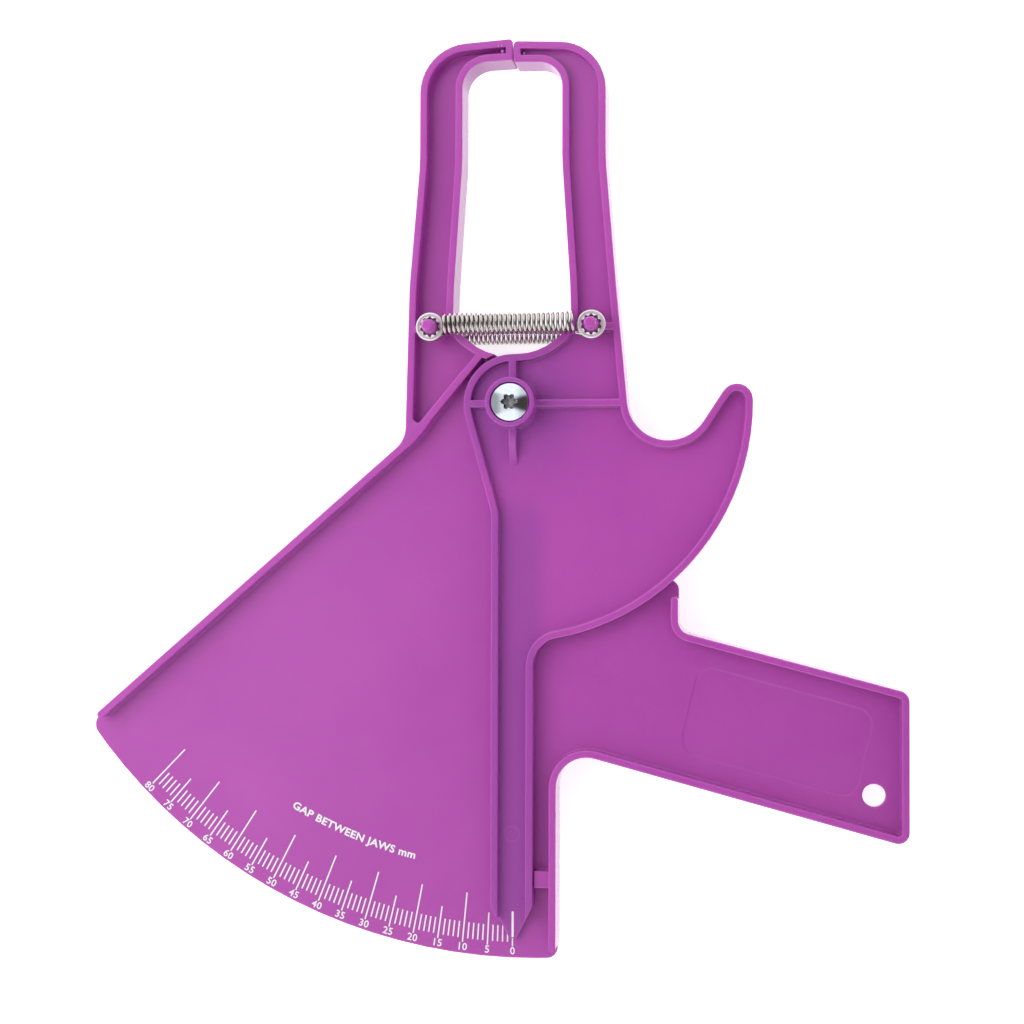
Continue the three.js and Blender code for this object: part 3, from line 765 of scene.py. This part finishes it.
# Witness marks: the mould's ejector pins leave faint rings on the lever's web. They are the same
# plastic, without the depth that light soaks into, because so thin a ring would turn dark.
def ring_mesh(name, loops, x, y, columns=48):
    # A closed ring about an upright axis at x and y. Each loop is (radius, z), in order round
    # the section, and either may be a function of the turn.
    bm = bmesh.new()
    rows = []
    for column in range(columns):
        turn = 2 * math.pi * column / columns
        row = []
        for radius, z in loops:
            reach = radius(turn) if callable(radius) else radius
            rise = z(turn) if callable(z) else z
            spot = Vector((x + reach * math.cos(turn), y + reach * math.sin(turn), rise))
            row.append(bm.verts.new(pivot + spot * MM))
        rows.append(row)
    for row, following in zip(rows, rows[1:] + rows[:1]):
        for k in range(len(row)):
            bm.faces.new((row[k - 1], following[k - 1], following[k], row[k]))
    bmesh.ops.recalc_face_normals(bm, faces=bm.faces)
    mesh = mesh_from(bm, name)
    shade_smooth(mesh)
    return mesh


axis_hole = 0.02
mark_abs, tree, *_, plastic = moulded_violet_abs("violet_abs_at_the_ejector_pins")
plastic.inputs["Subsurface Weight"].default_value = 0
tree.links.remove(plastic.inputs["Normal"].links[0])
lever_web_z = -3.15
mark_width = 0.22
mark_rise = 0.02
# Each mark's x, y and radius.
marks = [(19.19, 100.98, 2.7), (40.01, -49.93, 2.5), (-0.35, -131.23, 2.5)]
for number, (x, y, radius) in enumerate(marks):
    loops = [
        (radius - mark_width, lever_web_z - mark_rise),
        (radius - mark_width, lever_web_z),
        (radius - mark_width / 2, lever_web_z + mark_rise),
        (radius, lever_web_z),
        (radius, lever_web_z - mark_rise),
    ]
    mark_mesh = ring_mesh("ejector_mark", loops, x, y)
    mark = add_piece(f"ejector_mark_{number + 1}", mark_mesh, mark_abs)
    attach(mark, "lever")

# Gate nibs: where the plastic entered the mould, a stub is left in each jaw's pocket and small
# crumbs on its rim. They were twisted off. They are painted paler than the rest of the plastic:
# a painted glow, for thin translucent stubs that shine in the shade of the pocket.
glowing_nib_abs = moulded_violet_abs("violet_abs_pale_where_torn", "#D596D2", "#E2AEDF")[0]
nib_sink = 0.1
# Each one's body, x, y, the level that it stands on, its radius and its height.
nibs = [
    ("frame", -3.6, 108.55, plate_z, 0.62, 3.5),
    ("frame", -3.5, 109.65, 0, 0.22, 0.35),
    ("frame", -4.5, 109.55, 0, 0.18, 0.3),
    ("lever", 3.12, 107.45, lever_web_z, 0.42, 1.7),
    ("lever", 1.7, 109.6, 0, 0.18, 0.3),
]
for number, (body, x, y, floor, radius, height) in enumerate(nibs):
    loops = [
        (axis_hole, floor - nib_sink),
        (radius, floor - nib_sink),
        (0.9 * radius, floor + height - 0.5 * radius),
        (0.55 * radius, floor + height - 0.1 * radius),
        (axis_hole, floor + height),
    ]
    nib_mesh = ring_mesh("gate_nib", loops, x, y, columns=24)
    nib = add_piece(f"gate_nib_{number + 1}", nib_mesh, glowing_nib_abs)
    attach(nib, body)

# Index line: one line with round ends, printed down the pointer's tip in the scale's ink. It
# stands against the scale's line for the gap between the jaws.
line_half_width = 0.35
line_top, line_end = -155.15, -162.4
line_corners = 16
line_outline = []
for step in range(line_corners):
    turn = 2 * math.pi * (step + 0.5) / line_corners
    end = line_top if turn < math.pi else line_end
    line_outline.append((line_half_width * math.cos(turn), end + line_half_width * math.sin(turn)))
half_ink = ink_thickness / 2
index_mesh = prism_mesh(line_outline, lever_web_z - half_ink, lever_web_z + half_ink)
index_line = add_piece("index_line", index_mesh, ink_white)
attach(index_line, "lever")

# Pivot screw: steel, chrome plated over a turned dome, with a six-lobe recess for the driver.
# The turning marks under the plating run round the head, so its highlights spread into wedges.
chrome, tree = new_material("bright_chrome_plate_on_turned_steel")
place = add_node(tree, "ShaderNodeTexCoord", {})
haze = add_node(
    tree, "ShaderNodeTexNoise", {"Vector": place.outputs["Object"], "Scale": 700, "Detail": 4}
)
chrome_colour = add_node(
    tree,
    "ShaderNodeMixRGB",
    {"Fac": haze.outputs[0], "Color1": linear("#D2DBE6"), "Color2": linear("#E6EDF5")},
)
chrome_polish = add_node(
    tree, "ShaderNodeMapRange", {"Value": haze.outputs[0], "To Min": 0.1, "To Max": 0.18}
)
round_the_axis = add_node(tree, "ShaderNodeTangent", {}, direction_type="RADIAL", axis="Z")
plating = add_node(
    tree,
    "ShaderNodeBsdfPrincipled",
    {
        "Base Color": chrome_colour.outputs[0],
        "Metallic": 1,
        "Roughness": chrome_polish.outputs[0],
        "Anisotropic": 0.45,
        "Anisotropic Rotation": 0.25,
        "Tangent": round_the_axis.outputs[0],
    },
)
add_node(tree, "ShaderNodeOutputMaterial", {"Surface": plating.outputs[0]})

# The recess is painted dark and mottled: a painted shade for the dark that it mirrors, with
# lighter patches as painted reflections of its facets. It is a little rougher than the dome.
recess_painted_dark, tree = new_material("scraped_recess_of_the_screw")
place = add_node(tree, "ShaderNodeTexCoord", {})
recess_mottle = add_node(
    tree, "ShaderNodeTexNoise", {"Vector": place.outputs["Object"], "Scale": 1400, "Detail": 3}
)
recess_colour = add_node(
    tree,
    "ShaderNodeMixRGB",
    {"Fac": recess_mottle.outputs[0], "Color1": linear("#222327"), "Color2": linear("#C4C6CC")},
)
recess_polish = add_node(
    tree, "ShaderNodeMapRange", {"Value": recess_mottle.outputs[0], "To Min": 0.22, "To Max": 0.4}
)
recess_surface = add_node(
    tree,
    "ShaderNodeBsdfPrincipled",
    {"Base Color": recess_colour.outputs[0], "Metallic": 1, "Roughness": recess_polish.outputs[0]},
)
add_node(tree, "ShaderNodeOutputMaterial", {"Surface": recess_surface.outputs[0]})

head_radius = 5.8
head_seat = 4.4
head_edge = 5.7
head_top = 7.2
dome_radius = (head_radius**2 + (head_top - head_edge) ** 2) / (2 * (head_top - head_edge))
recess_depth = 2.1
recess_draft = 0.86
lobe_middle, lobe_swing = 2.12, 0.38
lobes = 6
lip_width = 1.06
lip_drop = 0.12


def lobed(share):
    # Six round lobes: 2.5 mm to their ends, 1.75 mm between them.
    return lambda turn: share * (lobe_middle + lobe_swing * math.cos(lobes * turn))


def dome(reach):
    return head_top - dome_radius + math.sqrt(dome_radius**2 - reach**2)


def headed_mesh(name, stem):
    # One closed surface about the pivot's axis: recess, dome, edge, then the stem below it.
    wall = lobed(1)
    lip = lobed(lip_width)
    loops = [
        (axis_hole, head_top - recess_depth - 0.2),
        (lobed(recess_draft * 0.5), head_top - recess_depth),
        (lobed(recess_draft), head_top - recess_depth),
        (wall, lambda turn: dome(wall(turn)) - lip_drop),
        (lip, lambda turn: dome(lip(turn))),
        *[(reach, dome(reach)) for reach in (2.8, 3.3, 3.9, 4.5, 5.1, 5.4)],
        (5.62, dome(5.62) - 0.03),
        (5.76, head_edge - 0.02),
        (head_radius, head_edge - 0.2),
        (head_radius, head_seat),
        *stem,
    ]
    recess_reach = lip_width * (lobe_middle + lobe_swing)
    recess_floor = head_top - recess_depth - 0.5
    mesh = ring_mesh(name, loops, 0, 0, columns=144)
    for face in mesh.polygons:
        middle = (face.center - pivot) / MM
        reach = middle.xy.length
        below_the_dome = recess_floor < middle.z < dome(reach) - 0.08
        face.material_index = int(reach < recess_reach and below_the_dome)
    return mesh


shank_radius = 2
shank_end_above_rear_head = 2.3
shank_end = rear_rim - head_seat + shank_end_above_rear_head
shank = [(shank_radius, head_seat), (shank_radius, shank_end), (axis_hole, shank_end)]
screw_mesh = headed_mesh("pivot_screw_head", shank)
screw = add_piece("pivot_screw_chromed", screw_mesh, chrome, recess_painted_dark)
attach(screw, "frame")
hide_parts("pivot_screw")

# Pivot barrel: the same chromed head behind, on a hollow stem that the lever turns on. The
# screw's thread goes into it from the front.
def turn_to_the_rear(mesh):
    # The same shape behind, mirrored about the level halfway between the two rims.
    halfway = Matrix.Translation((0, 0, 2 * pivot.z + rear_rim * MM))
    mesh.transform(halfway @ Matrix.Scale(-1, 4, (0, 0, 1)))
    mesh.flip_normals()


stem_radius = 3.4
bore_radius = 2.3
stem_gap = 0.3
stem_end = rear_rim - (head_seat - stem_gap)
bore_floor = head_seat - 2
barrel_stem = [
    (stem_radius, head_seat),
    (stem_radius, stem_end),
    (bore_radius, stem_end),
    (bore_radius, bore_floor),
    (axis_hole, bore_floor),
]
barrel_mesh = headed_mesh("pivot_barrel_head", barrel_stem)
turn_to_the_rear(barrel_mesh)
barrel = add_piece("pivot_barrel_chromed", barrel_mesh, chrome, recess_painted_dark)
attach(barrel, "frame")
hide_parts("pivot_barrel")

# Springs: bright drawn steel wire, wound close with an eye at each end. The front one lies over
# both halves, and the rear one is the same wire turned over about its length. The side of the
# wire that faces the inside of the coil is painted darker: a painted shade for the coil's dark inside.
wire_steel, tree = new_material("bright_drawn_spring_steel")
place = add_node(tree, "ShaderNodeTexCoord", {})
drawn = add_node(
    tree, "ShaderNodeTexNoise", {"Vector": place.outputs["Object"], "Scale": 1500, "Detail": 3}
)
wire_colour = add_node(
    tree,
    "ShaderNodeMixRGB",
    {"Fac": drawn.outputs[0], "Color1": linear("#BAB4AE"), "Color2": linear("#D8D4D0")},
)
facing_out = add_node(tree, "ShaderNodeAttribute", {}, attribute_name="facing_out")
# Painted shade: the wire turns brownish grey where it faces the inside of the coil.
inner_painted_shade = add_node(
    tree,
    "ShaderNodeMapRange",
    {"Value": facing_out.outputs["Fac"], "From Min": -0.1, "From Max": 0.55},
    interpolation_type="SMOOTHSTEP",
)
wire_with_painted_shade = add_node(
    tree,
    "ShaderNodeMixRGB",
    {"Fac": inner_painted_shade.outputs[0], "Color1": linear("#857B74"), "Color2": wire_colour.outputs[0]},
)
wire_polish = add_node(
    tree, "ShaderNodeMapRange", {"Value": drawn.outputs[0], "To Min": 0.1, "To Max": 0.2}
)
wire_surface = add_node(
    tree,
    "ShaderNodeBsdfPrincipled",
    {"Base Color": wire_with_painted_shade.outputs[0], "Metallic": 1, "Roughness": wire_polish.outputs[0]},
)
add_node(tree, "ShaderNodeOutputMaterial", {"Surface": wire_surface.outputs[0]})

post_x, post_y = 24.62, 23.155
spring_above_rim = 4.1
wire_radius = 0.49
coil_radius = 3.05
coil_turns = 28
coil_start = 3.6
coil_end = 5.2
eye_radius = 3.15
eye_start, eye_end = math.radians(52), math.radians(278)
steps_per_turn = 24
lead_steps = 5
lead_lift = 0.35


def lead_between(start, end, lift):
    # The short bend from an eye to the coil or back, without its two end points.
    points = []
    for step in range(1, lead_steps):
        share = step / lead_steps
        ease = share * share * (3 - 2 * share)
        x = start[0] + (end[0] - start[0]) * share
        y = start[1] + (end[1] - start[1]) * ease
        points.append(Vector((x, y, lift * math.sin(math.pi * share))))
    return points


def spring_route(rise):
    # Along the wire: one eye, a short lead, the coil, a lead and the other eye. The coil's axis
    # stands off the line between the posts by the rise.
    span = 2 * post_x
    eye = []
    for step in range(steps_per_turn + 1):
        turn = eye_start + (eye_end - eye_start) * step / steps_per_turn
        eye.append(Vector((eye_radius * math.cos(turn), eye_radius * math.sin(turn), 0)))
    coil = []
    count = coil_turns * steps_per_turn
    length = span - coil_start - coil_end
    for step in range(count + 1):
        turn = 2 * math.pi * step / steps_per_turn
        x = coil_start + length * step / count
        y = rise - coil_radius * math.cos(turn)
        coil.append(Vector((x, y, -coil_radius * math.sin(turn))))
    eye_foot = eye_radius * math.cos(eye_end)
    foot = rise - coil_radius
    lead_in = lead_between((eye_foot, -eye_radius), (coil_start, foot), lead_lift)
    lead_out = lead_between((span - coil_end, foot), (span - eye_foot, -eye_radius), -lead_lift)
    far_eye = [Vector((span - spot.x, spot.y, 0)) for spot in reversed(eye)]
    return eye + lead_in + coil + lead_out + far_eye


def wound_wire(name, route, axis_y, axis_z):
    wire = bpy.data.curves.new(name, "CURVE")
    wire.dimensions = "3D"
    wire.bevel_depth = wire_radius * MM
    wire.bevel_resolution = 3
    wire.use_fill_caps = True
    spline = wire.splines.new("POLY")
    spline.points.add(len(route) - 1)
    for point, spot in zip(spline.points, route):
        point.co = (*(pivot + spot * MM), 1)
    mesh = plain_mesh_of_new(name, wire)
    bm = bmesh.new()
    bm.from_mesh(mesh)
    bmesh.ops.remove_doubles(bm, verts=bm.verts, dist=0.001 * MM)
    bmesh.ops.recalc_face_normals(bm, faces=bm.faces)
    bm.to_mesh(mesh)
    bm.free()
    shade_smooth(mesh, 60)
    facing_out = mesh.attributes.new("facing_out", "FLOAT", "POINT")
    for vertex in mesh.vertices:
        from_axis = (vertex.co - pivot) / MM - Vector((0, axis_y, axis_z))
        outward = Vector((0, from_axis.y, from_axis.z))
        on_coil = coil_start - post_x < from_axis.x < post_x - coil_end
        share = vertex.normal.dot(outward.normalized()) if on_coil and outward.length > 0 else 1
        facing_out.data[vertex.index].value = share
    return mesh


front_z = spring_above_rim
rear_z = rear_rim - spring_above_rim
front_rise, rear_rise = 0.7, 0.3
front_route = [
    Vector((spot.x - post_x, post_y + spot.y, front_z + spot.z))
    for spot in spring_route(front_rise)
]
rear_route = [
    Vector((spot.x - post_x, post_y - spot.y, rear_z - spot.z))
    for spot in spring_route(rear_rise)
]
for side, route, axis_y, z in [
    ("front", front_route, post_y + front_rise, front_z),
    ("rear", rear_route, post_y - rear_rise, rear_z),
]:
    wire_mesh = wound_wire(f"{side}_spring_wound", route, axis_y, z)
    spring = add_piece(f"{side}_spring_wound", wire_mesh, wire_steel)
    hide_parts(f"{side}_spring")
    near_end = pivot + Vector((coil_start - post_x, post_y, z)) * MM
    far_end = pivot + Vector((post_x - coil_end, post_y, z)) * MM
    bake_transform(spring, f"{side}_spring_eye", f"{side}_spring_body", start=near_end, end=far_end)

# Retainers: push-on rings pressed from zinc plated spring steel. The outer band is rolled round,
# and ten teeth inside it bend up and bite into the plastic pin.
zinc, tree = new_material("zinc_plated_spring_steel_pressing")
place = add_node(tree, "ShaderNodeTexCoord", {})
crystals = add_node(
    tree, "ShaderNodeTexNoise", {"Vector": place.outputs["Object"], "Scale": 900, "Detail": 3}
)
zinc_colour = add_node(
    tree,
    "ShaderNodeMixRGB",
    {"Fac": crystals.outputs[0], "Color1": linear("#DEDFDB"), "Color2": linear("#F4F4F1")},
)
zinc_polish = add_node(
    tree, "ShaderNodeMapRange", {"Value": crystals.outputs[0], "To Min": 0.26, "To Max": 0.38}
)
zinc_surface = add_node(
    tree,
    "ShaderNodeBsdfPrincipled",
    {"Base Color": zinc_colour.outputs[0], "Metallic": 0.7, "Roughness": zinc_polish.outputs[0]},
)
add_node(tree, "ShaderNodeOutputMaterial", {"Surface": zinc_surface.outputs[0]})

ring_seat = 4.85
teeth = 10
tooth_root, tooth_tip = 3.22, 2.62
tooth_lift = 0.5
tooth_foot, tooth_flank = 0.4, 0.28


def tooth_share(turn):
    # 1 on a tooth's middle, 0 from its foot to the next one.
    across = abs((turn * teeth / (2 * math.pi) + 0.5) % 1 - 0.5)
    return max(0, min(1, (tooth_foot - across) / tooth_flank))


def tooth_reach(turn):
    return tooth_root - (tooth_root - tooth_tip) * tooth_share(turn)


for side in ("front", "rear"):
    for owner, direction in (("frame", -1), ("lever", 1)):
        loops = [
            (4.22, ring_seat + 0.02),
            (4.3, ring_seat + 0.12),
            (4.3, ring_seat + 0.36),
            (4.22, ring_seat + 0.52),
            (4.06, ring_seat + 0.61),
            (3.85, ring_seat + 0.64),
            (3.64, ring_seat + 0.6),
            (3.5, ring_seat + 0.48),
            (3.42, ring_seat + 0.34),
            (3.3, ring_seat + 0.3),
            (tooth_reach, lambda turn: ring_seat + 0.3 + tooth_lift * tooth_share(turn)),
            (tooth_reach, lambda turn: ring_seat + 0.06 + tooth_lift * tooth_share(turn)),
            (3.36, ring_seat + 0.02),
        ]
        mesh = ring_mesh(f"{side}_{owner}_ring", loops, direction * post_x, post_y, columns=120)
        if side == "rear":
            turn_to_the_rear(mesh)
        retainer = add_piece(f"{side}_{owner}_push_on_ring", mesh, zinc)
        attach(retainer, f"{side}_spring_eye" if owner == "frame" else "lever")
        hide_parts(f"{side}_{owner}_retainer")
